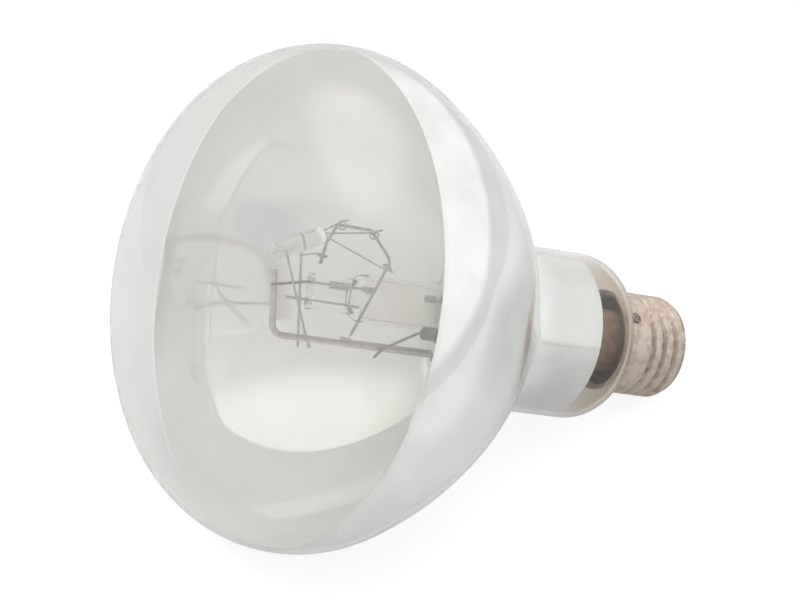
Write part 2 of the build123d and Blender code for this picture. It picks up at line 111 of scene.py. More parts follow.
PLACE = LampAxes().matrix()


def direction(azimuth: float, elevation: float) -> Vector:
    """Give a direction from the lamp.

    Args:
        azimuth: Degrees from -Y towards X.
        elevation: Degrees above the table.

    Returns:
        The direction, of length 1.
    """
    turn = math.radians(azimuth)
    rise = math.radians(elevation)
    return Vector((math.sin(turn) * math.cos(rise), -math.cos(turn) * math.cos(rise), math.sin(rise)))


class NodeBoard:
    """Adds nodes to a tree and links them."""

    def __init__(self, tree: bpy.types.NodeTree) -> None:
        """Take up a tree.

        Args:
            tree: The tree that takes the nodes.
        """
        self.tree = tree

    def add(
        self, kind: str, values: dict[str | int, object] | None = None, **settings: object
    ) -> bpy.types.Node:
        """Add a node.

        Args:
            kind: The node's type, without the ShaderNode that it starts with.
            values: Input names or numbers with the values they keep.
            **settings: Properties of the node.

        Returns:
            The new node.
        """
        node = self.tree.nodes.new("ShaderNode" + kind)
        for key, value in settings.items():
            setattr(node, key, value)
        for key, value in (values or {}).items():
            node.inputs[key].default_value = value
        return node

    def join(self, source: Socket, target: Socket) -> None:
        """Link two sockets."""
        self.tree.links.new(source, target)

    def mix(self, mask: Socket, low: Colour | Socket, high: Colour | Socket) -> Socket:
        """Mix two colours by a mask.

        Args:
            mask: Where the second colour shows.
            low: The colour at 0.
            high: The colour at 1.

        Returns:
            The mixed colour.
        """
        node = self.add("Mix", data_type="RGBA")
        self.join(mask, node.inputs["Factor"])
        ends = [socket for socket in node.inputs if socket.type == "RGBA"]
        for socket, colour in zip(ends, (low, high)):
            if isinstance(colour, Socket):
                self.join(colour, socket)
            else:
                socket.default_value = (*colour, 1.0)
        return next(socket for socket in node.outputs if socket.type == "RGBA")

    def span(self, value: Socket, source: Span, target: Span) -> Socket:
        """Map a value smoothly from one range to another.

        Args:
            value: The value to map.
            source: Its range.
            target: The range it becomes.

        Returns:
            The mapped value.
        """
        ends = dict(zip(("From Min", "From Max", "To Min", "To Max"), (*source, *target)))
        node = self.add("MapRange", ends, interpolation_type="SMOOTHSTEP")
        self.join(value, node.inputs["Value"])
        return node.outputs["Result"]

    def combine(self, operation: str, first: Socket, second: Socket) -> Socket:
        """Combine two values, such as by MULTIPLY or MAXIMUM."""
        node = self.add("Math", operation=operation)
        self.join(first, node.inputs[0])
        self.join(second, node.inputs[1])
        return node.outputs["Value"]

    def rays(self) -> tuple[Socket, Socket]:
        """Give the masks of rays from the eye, and of rays from mirrors and through glass."""
        path = self.add("LightPath").outputs
        mirrored = self.combine("MAXIMUM", path["Is Glossy Ray"], path["Is Transmission Ray"])
        return path["Is Camera Ray"], mirrored


class EffectShelf:
    """Node groups that more than one finish uses, each built once."""

    built: dict[str, bpy.types.NodeTree] = {}

    @classmethod
    def start(cls, name: str, inputs: dict[str, float], outputs: tuple[str, ...]) -> NodeBoard:
        """Open a new group with float sockets.

        Args:
            name: The group's name.
            inputs: Input names with their usual values.
            outputs: Output names.

        Returns:
            The group's board, with its two end nodes named "in" and "out".
        """
        tree = bpy.data.node_groups.new(name, "ShaderNodeTree")
        for key, value in inputs.items():
            socket = tree.interface.new_socket(key, in_out="INPUT", socket_type="NodeSocketFloat")
            socket.default_value = value
        for key in outputs:
            tree.interface.new_socket(key, in_out="OUTPUT", socket_type="NodeSocketFloat")
        tree.nodes.new("NodeGroupInput").name = "in"
        tree.nodes.new("NodeGroupOutput").name = "out"
        cls.built[name] = tree
        return NodeBoard(tree)

    @classmethod
    def stations(cls) -> bpy.types.NodeTree:
        """Give each point's radius and height on the lamp's axis, in millimetres."""
        name = "lamp_stations"
        if name not in cls.built:
            board = cls.start(name, {}, ("Radius", "Height"))
            out = board.tree.nodes["out"].inputs
            points = board.add("TexCoord")
            place = {"Location": PLACE.translation, "Rotation": PLACE.to_euler(), "Scale": (MM, MM, MM)}
            lamp = board.add("Mapping", place, vector_type="TEXTURE")
            board.join(points.outputs["Object"], lamp.inputs["Vector"])
            split = board.add("SeparateXYZ")
            board.join(lamp.outputs["Vector"], split.inputs["Vector"])
            flat = board.add("VectorMath", {1: (1.0, 1.0, 0.0)}, operation="MULTIPLY")
            board.join(lamp.outputs["Vector"], flat.inputs[0])
            length = board.add("VectorMath", operation="LENGTH")
            board.join(flat.outputs["Vector"], length.inputs[0])
            board.join(length.outputs["Value"], out["Radius"])
            board.join(split.outputs["Z"], out["Height"])
        return cls.built[name]

    @classmethod
    def mottle(cls) -> bpy.types.NodeTree:
        """Give soft patches as a mask from 0 to 1, and the same unevenness as a height."""
        name = "mottle"
        if name not in cls.built:
            usual = {"Spots per metre": 200.0, "Detail": 3.0, "Low": 0.4, "High": 0.65}
            board = cls.start(name, usual, ("Mask", "Height"))
            given = board.tree.nodes["in"].outputs
            out = board.tree.nodes["out"].inputs
            points = board.add("TexCoord")
            cloud = board.add("TexNoise")
            board.join(points.outputs["Object"], cloud.inputs["Vector"])
            board.join(given["Spots per metre"], cloud.inputs["Scale"])
            board.join(given["Detail"], cloud.inputs["Detail"])
            span = board.add("MapRange", interpolation_type="SMOOTHSTEP")
            board.join(cloud.outputs["Fac"], span.inputs["Value"])
            board.join(given["Low"], span.inputs["From Min"])
            board.join(given["High"], span.inputs["From Max"])
            board.join(span.outputs["Result"], out["Mask"])
            board.join(cloud.outputs["Fac"], out["Height"])
        return cls.built[name]


class Recipe(NodeBoard):
    """Lays out the node tree of one finish around a Principled shader."""

    def __init__(self, name: str) -> None:
        """Start a material.

        Args:
            name: The finish's name.
        """
        self.material = bpy.data.materials.new(name)
        self.material.use_nodes = True
        super().__init__(self.material.node_tree)
        self.tree.nodes.clear()
        self.output = self.add("OutputMaterial")
        self.surface = self.add("BsdfPrincipled")
        self.join(self.surface.outputs["BSDF"], self.output.inputs["Surface"])

    def feed(self, name: str, source: Socket) -> None:
        """Link a value to one of the shader's sockets."""
        self.join(source, self.surface.inputs[name])

    def keep(self, **values: object) -> None:
        """Set constant sockets of the shader, with underscores for spaces in their names."""
        for key, value in values.items():
            self.surface.inputs[key.replace("_", " ")].default_value = value

    def stations(self) -> bpy.types.bpy_prop_collection:
        """Place the group that gives each point's radius and height, and give its outputs."""
        return self.add("Group", node_tree=EffectShelf.stations()).outputs

    def mottle(self, spots_per_metre: float, **values: float) -> bpy.types.bpy_prop_collection:
        """Place the group of soft patches.

        Args:
            spots_per_metre: How close the patches are.
            **values: Its other input values.

        Returns:
            The group's outputs.
        """
        return self.add(
            "Group", {"Spots per metre": spots_per_metre, **values}, node_tree=EffectShelf.mottle()
        ).outputs

    def shine(self, mask: Socket, gloss: Span) -> None:
        """Let the roughness follow a mask."""
        self.feed("Roughness", self.span(mask, (0.0, 1.0), gloss))

    def bump(self, height: Socket, depth_mm: float, strength: float = 1.0) -> None:
        """Press a height into the surface."""
        node = self.add("Bump", {"Strength": strength, "Distance": depth_mm * MM})
        self.join(height, node.inputs["Height"])
        self.feed("Normal", node.outputs["Normal"])

    def let_lamps_through(self, tint: Colour) -> None:
        """Let light from the lamps pass straight through a clear wall."""
        path = self.add("LightPath")
        clear = self.add("BsdfTransparent", {"Color": (*tint, 1.0)})
        either = self.add("MixShader")
        self.join(path.outputs["Is Shadow Ray"], either.inputs["Fac"])
        self.join(self.surface.outputs["BSDF"], either.inputs[1])
        self.join(clear.outputs["BSDF"], either.inputs[2])
        self.join(either.outputs["Shader"], self.output.inputs["Surface"])


@dataclass(frozen=True)
class Finish:
    """A finish that a piece can take, made into a material once."""

    name: str
    slot: Slot
    made: ClassVar[dict[str, bpy.types.Material]] = {}

    def material(self) -> bpy.types.Material:
        """Give the finish's material, and make it when it is first asked for."""
        if self.name not in self.made:
            self.made[self.name] = self.mix()
        return self.made[self.name]

    def mix(self) -> bpy.types.Material:
        """Make the material."""
        raise NotImplementedError


@dataclass(frozen=True)
class ClearFinish(Finish):
    """Clear glass or quartz with a little bloom, and another tint at its foot where it has one."""

    tint: Colour
    bloom_tint: Colour = (0.93, 0.94, 0.93)
    index: float = 1.5
    milkiness: float = 0.0
    spots_per_metre: float = 60.0
    foot_tint: Colour | None = None
    foot_span: Span = (26.0, 42.0)
    bloom_low: ClassVar[float] = 0.35
    bloom_high: ClassVar[float] = 0.7

    def mix(self) -> bpy.types.Material:
        """Make the material."""
        recipe = Recipe(self.name)
        bloom = recipe.mottle(self.spots_per_metre, Low=self.bloom_low, High=self.bloom_high)
        colour = recipe.mix(bloom["Mask"], self.tint, self.bloom_tint)
        if self.foot_tint:
            foot = recipe.span(recipe.stations()["Height"], self.foot_span, (1.0, 0.0))
            colour = recipe.mix(foot, colour, self.foot_tint)
        recipe.feed("Base Color", colour)
        recipe.keep(Roughness=0.0, IOR=self.index, Transmission_Weight=1.0 - self.milkiness)
        recipe.let_lamps_through(self.tint)
        return recipe.material


@dataclass(frozen=True)
class BodyFinish(Finish):
    """An opaque body such as cement, enamel or dark glass, whose colour and gloss change softly."""

    colour: Colour
    patch: Colour
    gloss: Span
    spots_per_metre: float
    grain_mm: float = 0.0
    metal: ClassVar[float] = 0.0
    detail: ClassVar[float] = 5.0
    grain_per_metre: ClassVar[float] = 2500.0

    def mix(self) -> bpy.types.Material:
        """Make the material."""
        recipe = Recipe(self.name)
        mask = recipe.mottle(self.spots_per_metre, Detail=self.detail)["Mask"]
        recipe.feed("Base Color", recipe.mix(mask, self.colour, self.patch))
        recipe.shine(mask, self.gloss)
        recipe.keep(Metallic=self.metal)
        if self.grain_mm > 0.0:
            recipe.bump(recipe.mottle(self.grain_per_metre)["Height"], self.grain_mm)
        return recipe.material


@dataclass(frozen=True)
class MetalFinish(BodyFinish):
    """Metal whose colour and gloss change softly over the surface."""

    metal: ClassVar[float] = 1.0
    detail: ClassVar[float] = 4.0
    grain_per_metre: ClassVar[float] = 3000.0


@dataclass(frozen=True)
class MirrorFinish(Finish):
    """Evaporated aluminium on blown glass: bright, a little streaky and not quite even."""

    bright: Colour = (0.94, 0.945, 0.945)
    thin: Colour = (0.90, 0.905, 0.905)
    neck: Colour = (0.73, 0.73, 0.715)
    neck_span: Span = (52.0, 66.0)
    gloss: Span = (0.015, 0.05)
    metal: float = 1.0
    spots_per_metre: float = 30.0
    wave_per_metre: float = 45.0
    wave_mm: float = 0.05

    def mix(self) -> bpy.types.Material:
        """Make the material."""
        recipe = Recipe(self.name)
        mask = recipe.mottle(self.spots_per_metre, Detail=4.0)["Mask"]
        neck = recipe.span(recipe.stations()["Height"], self.neck_span, (1.0, 0.0))
        recipe.feed("Base Color", recipe.mix(neck, recipe.mix(mask, self.bright, self.thin), self.neck))
        recipe.shine(mask, self.gloss)
        recipe.keep(Metallic=self.metal)
        recipe.bump(recipe.mottle(self.wave_per_metre, Detail=0.0)["Height"], self.wave_mm)
        return recipe.material


@dataclass(frozen=True)
class CapFinish(Finish):
    """Nickel plate gone warm with handling, with brown stains that sit in the thread's grooves."""

    plate: Colour = (0.56, 0.47, 0.395)
    rubbed: Colour = (0.645, 0.56, 0.485)
    stain: Colour = (0.26, 0.185, 0.135)
    stain_share: Span = (0.1, 0.62)
    stains_per_metre: float = 900.0
    stain_mm: float = 0.04
    stain_press: float = 0.6
    gloss: Span = (0.42, 0.58)
    groove_radius: Span = (12.15, 12.5)
    spots_per_metre: float = 420.0

    def mix(self) -> bpy.types.Material:
        """Make the material."""
        recipe = Recipe(self.name)
        mask = recipe.mottle(self.spots_per_metre, Detail=6.0)["Mask"]
        groove = recipe.span(recipe.stations()["Radius"], self.groove_radius, (1.0, 0.0))
        patches = recipe.mottle(self.stains_per_metre, Detail=4.0, Low=0.3, High=0.62)
        share = recipe.span(patches["Mask"], (0.0, 1.0), self.stain_share)
        stain = recipe.combine("MULTIPLY", groove, share)
        recipe.feed("Base Color", recipe.mix(stain, recipe.mix(mask, self.rubbed, self.plate), self.stain))
        recipe.shine(mask, self.gloss)
        recipe.keep(Metallic=1.0)
        recipe.bump(patches["Height"], self.stain_mm, self.stain_press)
        return recipe.material


BODY_GLASS = ClearFinish(
    "blown_glass",
    Slot.ENVELOPE_GLASS,
    (0.985, 0.99, 0.985),
    index=1.42,
    milkiness=0.01,
    foot_tint=(0.70, 0.61, 0.51),
)
FACE_GLASS = ClearFinish(
    "face_glass",
    Slot.ENVELOPE_GLASS,
    (0.985, 0.985, 0.98),
    (0.955, 0.955, 0.95),
    milkiness=0.11,
    foot_tint=(0.862, 0.882, 0.855),
    foot_span=(121.0, 136.0),
)
STEM_GLASS = BodyFinish(
    "stained_stem_glass", Slot.STEM_GLASS, (0.26, 0.148, 0.088), (0.38, 0.235, 0.152), (0.6, 0.8), 400.0
)
BEAD_GLASS = ClearFinish("bead_glass", Slot.STEM_GLASS, (0.91, 0.905, 0.88), (0.87, 0.86, 0.83), 1.26)
QUARTZ = ClearFinish(
    "burner_quartz",
    Slot.QUARTZ,
    (0.98, 0.98, 0.97),
    (0.93, 0.92, 0.90),
    1.30,
    0.03,
    120.0,
    foot_tint=(0.965, 0.945, 0.915),
    foot_span=(94.0, 104.0),
)
MIRROR = MirrorFinish("aluminium_mirror", Slot.MIRROR_FILM)
HAZY_MIRROR = MirrorFinish(
    "hazy_aluminium",
    Slot.MIRROR_FILM,
    (0.955, 0.95, 0.942),
    (0.925, 0.92, 0.912),
    gloss=(0.02, 0.055),
    metal=0.37,
)
CAP_PLATE = CapFinish("cap_plating", Slot.CAP_METAL)
DARK_GLASS = BodyFinish(
    "cap_dark_glass", Slot.BLACK_GLASS, (0.012, 0.011, 0.014), (0.03, 0.028, 0.035), (0.06, 0.18), 300.0
)
BRASS = MetalFinish(
    "worn_contact_brass", Slot.CONTACT_BRASS, (0.72, 0.56, 0.28), (0.42, 0.31, 0.17), (0.25, 0.45), 900.0
)
SOLDER = MetalFinish(
    "soft_solder", Slot.SOLDER, (0.58, 0.58, 0.58), (0.36, 0.35, 0.35), (0.25, 0.5), 900.0, 0.05
)
OLD_SOLDER = MetalFinish(
    "tarnished_solder", Slot.SOLDER, (0.34, 0.29, 0.25), (0.14, 0.11, 0.09), (0.3, 0.55), 1500.0, 0.05
)
CEMENT = BodyFinish(
    "cap_cement", Slot.CEMENT, (0.32, 0.19, 0.12), (0.44, 0.29, 0.19), (0.75, 0.95), 500.0, 0.15
)
NICKEL = MetalFinish(
    "drawn_nickel", Slot.NICKEL_WIRE, (0.56, 0.49, 0.445), (0.48, 0.41, 0.365), (0.28, 0.4), 300.0
)
STAY_WIRE = MetalFinish(
    "grey_stay_wire", Slot.NICKEL_WIRE, (0.47, 0.45, 0.435), (0.38, 0.36, 0.345), (0.3, 0.45), 400.0
)
# Nickel coloured near black, for the front lead and the resistor's front lead.
DARK_WIRE = MetalFinish(
    "dark_nickel", Slot.NICKEL_WIRE, (0.18, 0.165, 0.155), (0.11, 0.10, 0.095), (0.35, 0.5), 600.0
)
TUNGSTEN = MetalFinish(
    "drawn_tungsten", Slot.TUNGSTEN, (0.40, 0.39, 0.38), (0.27, 0.26, 0.255), (0.35, 0.55), 900.0
)
FOIL = MetalFinish(
    "seal_foil", Slot.MOLYBDENUM, (0.40, 0.40, 0.41), (0.28, 0.28, 0.30), (0.25, 0.4), 1200.0
)
RESISTOR = BodyFinish(
    "resistor_enamel",
    Slot.RESISTOR_BODY,
    (0.022, 0.021, 0.021),
    (0.045, 0.043, 0.042),
    (0.4, 0.6),
    900.0,
    0.03,
)
MERCURY = MetalFinish(
    "mercury_bead", Slot.MERCURY, (0.78, 0.78, 0.79), (0.7, 0.7, 0.71), (0.02, 0.06), 900.0
)


Pieces = tuple[tuple[str, Finish, str], ...]


class ProfilePen:
    """Draws half a section in the XZ plane as a chain of edges, to be turned round the lamp's axis."""

    def __init__(self, radius: float, height: float) -> None:
        """Set the pen down.

        Args:
            radius: Distance from the axis.
            height: Place on the axis.
        """
        self.bm = bmesh.new()
        self.tip = self.bm.verts.new((radius, 0.0, height))

    def line(self, radius: float, height: float, pieces: int = 1) -> "ProfilePen":
        """Draw a straight stretch.

        Args:
            radius: Radius at its end.
            height: Height at its end.
            pieces: How many edges it has.

        Returns:
            The pen.
        """
        start = self.tip.co.copy()
        for step in range(1, pieces + 1):
            self.tip = bmesh.ops.extrude_vert_indiv(self.bm, verts=[self.tip])["verts"][0]
            self.tip.co = start.lerp(Vector((radius, 0.0, height)), step / pieces)
        return self

    def arc(self, radius: float, height: float, degrees: float, pieces: int) -> "ProfilePen":
        """Draw an arc from the pen's tip.

        Args:
            radius: Radius of the arc's centre.
            height: Height of the arc's centre.
            degrees: How far it turns, from the radius towards the height when positive.
            pieces: How many edges it has.

        Returns:
            The pen.
        """
        drawn = bmesh.ops.spin(
            self.bm,
            geom=[self.tip],
            cent=(radius, 0.0, height),
            axis=(0.0, -1.0, 0.0),
            angle=math.radians(degrees),
            steps=pieces,
        )
        self.tip = next(item for item in drawn["geom_last"] if isinstance(item, bmesh.types.BMVert))
        return self

    def revolve(self, steps: int) -> bmesh.types.BMesh:
        """Turn the section round the axis.

        Args:
            steps: Faces in one ring.

        Returns:
            The closed-up skin, facing outwards.
        """
        bmesh.ops.spin(
            self.bm,
            geom=self.bm.verts[:] + self.bm.edges[:],
            cent=(0.0, 0.0, 0.0),
            axis=(0.0, 0.0, 1.0),
            angle=FULL_TURN,
            steps=steps,
            use_merge=True,
        )
        bmesh.ops.remove_doubles(self.bm, verts=self.bm.verts[:], dist=0.0005)
        bmesh.ops.recalc_face_normals(self.bm, faces=self.bm.faces[:])
        return self.bm


@dataclass
class WirePath:
    """The middle line of a bent wire."""

    points: list[Vector]
    bend_room: ClassVar[float] = 0.45
    nearly_straight: ClassVar[float] = 0.01

    @classmethod
    def bent(cls, corners: list[Vector], bend: float, steps: int = 8) -> "WirePath":
        """Round the corners of a route.

        Args:
            corners: The route's ends and corners.
            bend: Radius of the bends.
            steps: Edges in each bend.

        Returns:
            The rounded path.
        """
        points = [corners[0]]
        for before, corner, after in zip(corners, corners[1:], corners[2:]):
            back = (before - corner).normalized()
            ahead = (after - corner).normalized()
            half = back.angle(ahead) / 2.0
            if math.pi / 2.0 - half < cls.nearly_straight:
                continue
            room = min((before - corner).length, (after - corner).length) * cls.bend_room
            reach = min(bend / math.tan(half), room)
            radius = reach * math.tan(half)
            middle = corner + (back + ahead).normalized() * radius / math.sin(half)
            start = corner + back * reach - middle
            axis = start.cross(corner + ahead * reach - middle).normalized()
            turn = math.pi - 2.0 * half
            for step in range(steps + 1):
                points.append(middle + Matrix.Rotation(turn * step / steps, 3, axis) @ start)
        points.append(corners[-1])
        return cls(points)

    def frames(self) -> list[Matrix]:
        """Carry a frame along the path without twisting it.

        Returns:
            One frame for each point, with Z along the path.
        """
        ways = [(b - a).normalized() for a, b in zip(self.points, self.points[1:])]
        tangents = [ways[0]] + [(a + b).normalized() for a, b in zip(ways, ways[1:])] + [ways[-1]]
        turned = Vector((0.0, 0.0, 1.0)).rotation_difference(tangents[0]).to_matrix()
        frames = [Matrix.Translation(self.points[0]) @ turned.to_4x4()]
        for point, before, tangent in zip(self.points[1:], tangents, tangents[1:]):
            turned = before.rotation_difference(tangent).to_matrix() @ turned
            frames.append(Matrix.Translation(point) @ turned.to_4x4())
        return frames

    def evenly(self, step: float) -> "WirePath":
        """Divide the path into even steps.

        Args:
            step: About how long each step is.

        Returns:
            The divided path.
        """
        lengths = [(b - a).length for a, b in zip(self.points, self.points[1:])]
        count = max(2, round(sum(lengths) / step))
        spacing = sum(lengths) / count
        points = [self.points[0]]
        walked = 0.0
        index = 0
        for number in range(1, count):
            while walked + lengths[index] < number * spacing:
                walked += lengths[index]
                index += 1
            share = (number * spacing - walked) / lengths[index]
            points.append(self.points[index].lerp(self.points[index + 1], share))
        points.append(self.points[-1])
        return WirePath(points)

    def coiled(self, radius: float, pitch: float, steps: int) -> "WirePath":
        """Wind a coil round the path.

        Args:
            radius: Radius of the coil's middle line.
            pitch: Rise of one turn.
            steps: Edges in one turn.

        Returns:
            The coil's middle line.
        """
        turns = self.evenly(pitch / steps).frames()
        spoke = Vector((radius, 0.0, 0.0))
        turned = [Matrix.Rotation(FULL_TURN * number / steps, 3, "Z") @ spoke for number in range(len(turns))]
        return WirePath([place @ point for place, point in zip(turns, turned)])

    def draw(self, bm: bmesh.types.BMesh, radius: float, sides: int = 10) -> None:
        """Draw the wire with closed ends.

        Args:
            bm: The mesh that takes it.
            radius: Radius of the wire.
            sides: Faces round it.
        """
        places = self.frames()
        ring = bmesh.ops.create_circle(bm, segments=sides, radius=radius, matrix=places[0])["verts"]
        edges = list({edge for vert in ring for edge in vert.link_edges})
        first = edges
        for before, place in zip(places, places[1:]):
            grown = bmesh.ops.extrude_edge_only(bm, edges=edges)["geom"]
            ring = [item for item in grown if isinstance(item, bmesh.types.BMVert)]
            sides_and_ends = [item for item in grown if isinstance(item, bmesh.types.BMEdge)]
            edges = [edge for edge in sides_and_ends if all(vert in ring for vert in edge.verts)]
            bmesh.ops.transform(bm, matrix=place @ before.inverted(), verts=ring)
        for end in (first, edges):
            bmesh.ops.edgeloop_fill(bm, edges=end)


class Bench:
    """Finishes meshes and lays them in the scene as pieces of the lamp."""

    crease = math.radians(32.0)
    weld = 2e-7

    @classmethod
    def lay(
        cls,
        name: str,
        bm: bmesh.types.BMesh,
        finish: Finish,
        node: str,
        place: Matrix = PLACE,
        second: Finish | None = None,
    ) -> None:
        """Make a mesh a piece that stands for a node of the frame.

        Args:
            name: The piece's name.
            bm: Its mesh, in the lamp's axes, which is used up.
            finish: Its finish.
            node: The node that it replaces.
            place: The way from the mesh's axes to the scene.
            second: The finish of faces whose material index is 1.
        """
        bmesh.ops.transform(bm, matrix=place, verts=bm.verts[:])
        for face in bm.faces:
            face.smooth = True
        for edge in bm.edges:
            edge.smooth = edge.calc_face_angle(0.0) < cls.crease
        mesh = bpy.data.meshes.new(name)
        bm.to_mesh(mesh)
        bm.free()
        for used in filter(None, (finish, second)):
            mesh.materials.append(used.material())
        piece = bpy.data.objects.new(name, mesh)
        bpy.context.collection.objects.link(piece)
        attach(piece, BODY)
        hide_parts(node)
        log.info("%s: %d faces, in %s", name, len(mesh.polygons), finish.name)

    @classmethod
    def smooth_nodes(cls, pieces: Pieces) -> None:
        """Lay merged copies of nodes with smooth shading.

        Args:
            pieces: Each piece's name, its finish and the node that is copied and replaced.
        """
        for name, finish, node in pieces:
            bm = bmesh.new()
            bm.from_mesh(frame["nodes"][node].data)
            bmesh.ops.remove_doubles(bm, verts=bm.verts[:], dist=cls.weld)
            cls.lay(name, bm, finish, node, Matrix.Identity(4))


@dataclass
class GlassEnvelope:
    """The blown envelope and the mirror on its inner wall."""

    globe_radius: float = 62.5
    face_radius: float = 108.0
    rim_roll: float = 30.5
    roll_past_widest: float = 24.0
    bowl_radius: float = 90.0
    neck_fillet: float = 6.0
    neck_radius: float = 21.2
    neck_length: float = 24.0
    neck_shoulder: float = 10.0
    seal_radius: float = 11.4
    seal_bend: float = 2.5
    seal_depth: float = 8.0
    wall: float = 1.2
    cap_rim: float = 24.5
    cap_rim_gap: float = 0.3
    cap_radius: float = 13.1
    mirror_lead: float = 4.4
    mirror_foot: float = 5.0
    mirror_inset: float = 0.06
    mirror_film: float = 0.1
    steps: int = 192

    def __post_init__(self) -> None:
        """Work out the centres of the arcs, each tangent to the next."""
        self.shoulder_r = self.neck_radius - self.neck_shoulder
        drop = math.sqrt(self.neck_shoulder**2 - (self.cap_radius - self.shoulder_r) ** 2)
        self.shoulder_z = self.cap_rim + self.cap_rim_gap + drop
        self.bend_r = self.seal_radius + self.seal_bend
        across = self.bend_r - self.shoulder_r
        self.bend_z = self.shoulder_z - math.sqrt((self.neck_shoulder + self.seal_bend) ** 2 - across**2)
        self.shoulder_angle = math.degrees(math.atan2(self.shoulder_z - self.bend_z, across))
        past = math.radians(self.roll_past_widest)
        self.roll_r = self.globe_radius - self.rim_roll
        self.bowl_r = self.roll_r - (self.bowl_radius - self.rim_roll) * math.cos(past)
        self.fillet_r = self.neck_radius + self.neck_fillet
        self.fillet_z = self.shoulder_z + self.neck_length
        reach = self.fillet_r - self.bowl_r
        self.bowl_z = self.fillet_z + math.sqrt((self.bowl_radius + self.neck_fillet) ** 2 - reach**2)
        self.bowl_angle = math.degrees(math.atan2(self.bowl_z - self.fillet_z, reach))
        self.widest_z = self.bowl_z - (self.bowl_radius - self.rim_roll) * math.sin(past)
        self.face_angle = math.degrees(math.asin(self.roll_r / (self.face_radius - self.rim_roll)))
        face_rise = math.cos(math.radians(self.face_angle))
        self.face_z = self.widest_z - (self.face_radius - self.rim_roll) * face_rise

    @property
    def rim_station(self) -> float:
        """Height of the mirror's rim."""
        return self.widest_z + self.mirror_lead

    def draw_bowl(self, pen: ProfilePen) -> None:
        """Draw the bowl and the fillet to the neck."""
        pen.arc(self.bowl_r, self.bowl_z, self.roll_past_widest - self.bowl_angle, 44)
        pen.arc(self.fillet_r, self.fillet_z, self.bowl_angle, 12)

    def build_glass(self) -> None:
        """Turn the outer skin and give it its wall."""
        pen = ProfilePen(0.0, self.face_z + self.face_radius)
        pen.arc(0.0, self.face_z, -self.face_angle, 30)
        pen.arc(self.roll_r, self.widest_z, self.face_angle - 90.0 - self.roll_past_widest, 40)
        self.draw_bowl(pen)
        pen.line(self.neck_radius, self.shoulder_z, 10)
        pen.arc(self.shoulder_r, self.shoulder_z, -self.shoulder_angle, 18)
        pen.arc(self.bend_r, self.bend_z, self.shoulder_angle, 8)
        pen.line(self.seal_radius, self.cap_rim - self.seal_depth, 3)
        bm = pen.revolve(self.steps)
        bmesh.ops.solidify(bm, geom=bm.faces[:], thickness=self.wall)
        for face in bm.faces:
            face.material_index = int(face.calc_center_median().z > self.rim_station)
        Bench.lay("blown_envelope", bm, BODY_GLASS, "glass_envelope", second=FACE_GLASS)

    def build_mirror(self) -> None:
        """Turn the film from its rim down into the neck."""
        inset = self.wall + self.mirror_inset
        lead = math.degrees(math.asin(self.mirror_lead / (self.rim_roll - inset)))
        rim_radius = self.roll_r + (self.rim_roll - inset) * math.cos(math.radians(lead))
        pen = ProfilePen(rim_radius, self.rim_station)
        pen.arc(self.roll_r, self.widest_z, -lead - self.roll_past_widest, 14)
        self.draw_bowl(pen)
        pen.line(self.neck_radius - inset, self.shoulder_z + self.mirror_foot, 8)
        bm = pen.revolve(self.steps)
        bmesh.ops.solidify(bm, geom=bm.faces[:], thickness=self.mirror_film)
        bm.normal_update()
        for face in bm.faces:
            face.material_index = int(face.normal.xy.dot(face.calc_center_median().xy) < 0.0)
        Bench.lay("mirror_film", bm, MIRROR, "mirror_coating", second=HAZY_MIRROR)

    def build(self) -> None:
        """Build the glass and its mirror."""
        self.build_glass()
        self.build_mirror()


